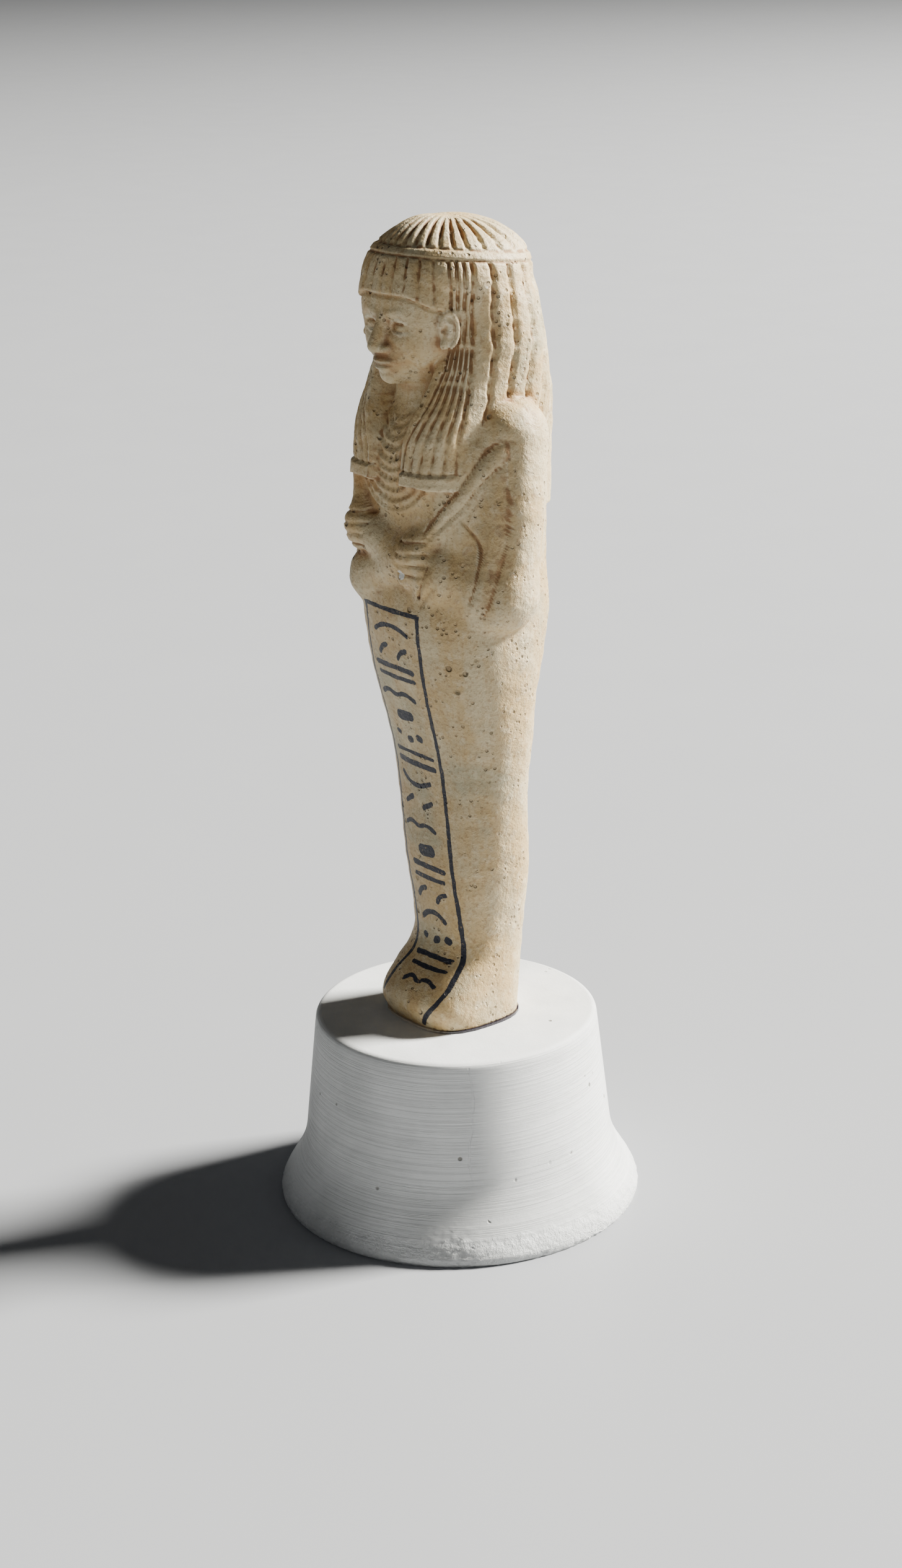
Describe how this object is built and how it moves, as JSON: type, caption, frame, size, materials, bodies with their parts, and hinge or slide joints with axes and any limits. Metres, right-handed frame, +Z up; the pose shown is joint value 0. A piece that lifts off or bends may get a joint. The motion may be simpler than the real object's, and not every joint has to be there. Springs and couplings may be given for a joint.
{
  "type": "ushabti figurine",
  "caption": "Small mummy-form funerary figure of moulded faience with crossed arms, striped wig and painted front column, fixed upright on a round flared plaster foot.",
  "frame": {"origin": "centre of the plaster foot's flat underside", "axes": "+Z up through the figure, -Y the way the figure faces, +X its left side"},
  "size_m": [0.0608, 0.0608, 0.163],
  "materials": {
    "faience": "weathered pale faience glaze with brown earth in the carving and black-blue paint",
    "plaster": "matte white cast plaster with fine turning lines",
    "wax": "dark shiny fixing wax"
  },
  "bodies": {
    "root": {"plaster_foot": "plaster", "fixing_wax": "wax", "figurine": "faience"}
  },
  "joints": []
}
